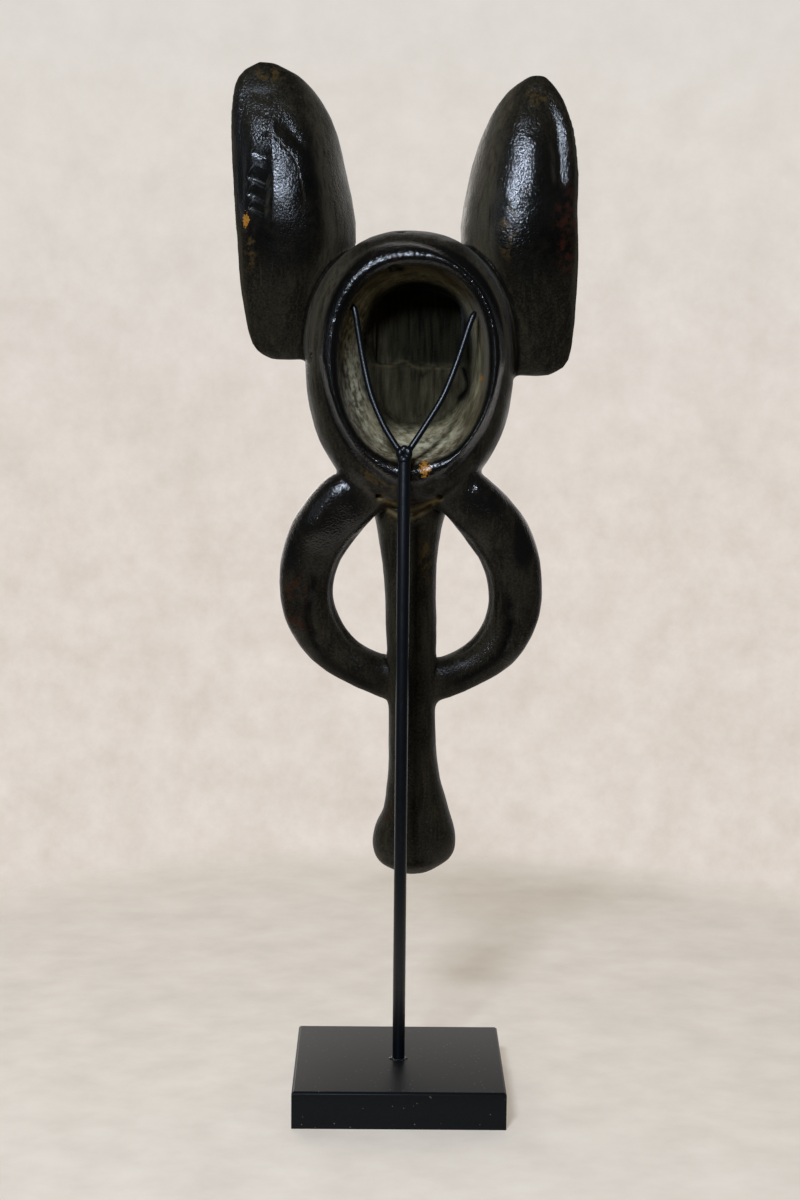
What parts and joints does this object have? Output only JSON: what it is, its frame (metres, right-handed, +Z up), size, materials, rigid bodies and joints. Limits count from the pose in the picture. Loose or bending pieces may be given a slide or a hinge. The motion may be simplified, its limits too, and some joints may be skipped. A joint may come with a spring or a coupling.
{
  "type": "guro elephant mask",
  "caption": "Hollow carved wooden elephant mask with upright shell ears, looping tusks and a long trunk, held up by a steel fork on a square base.",
  "frame": {"origin": "centre of the square base's underside", "axes": "+Z up along the rod; the mask's face looks to -Y and its hollow back to +Y; +X is the mask's own left"},
  "size_m": [0.2487, 0.1888, 0.741],
  "materials": {
    "carved_wood": "dense carved wood, dark oiled and waxed patina, satin sheen, worn to olive brown and bare ochre at edges",
    "painted_base": "fibreboard block painted satin black, a little dusty on top",
    "black_steel": "steel rod and wire painted satin black, glossier at the weld"
  },
  "bodies": {
    "root": {"elephant_mask": "carved_wood", "base_block": "painted_base", "support_rod": "black_steel", "fork_prong_left": "black_steel", "fork_prong_right": "black_steel"}
  },
  "joints": []
}
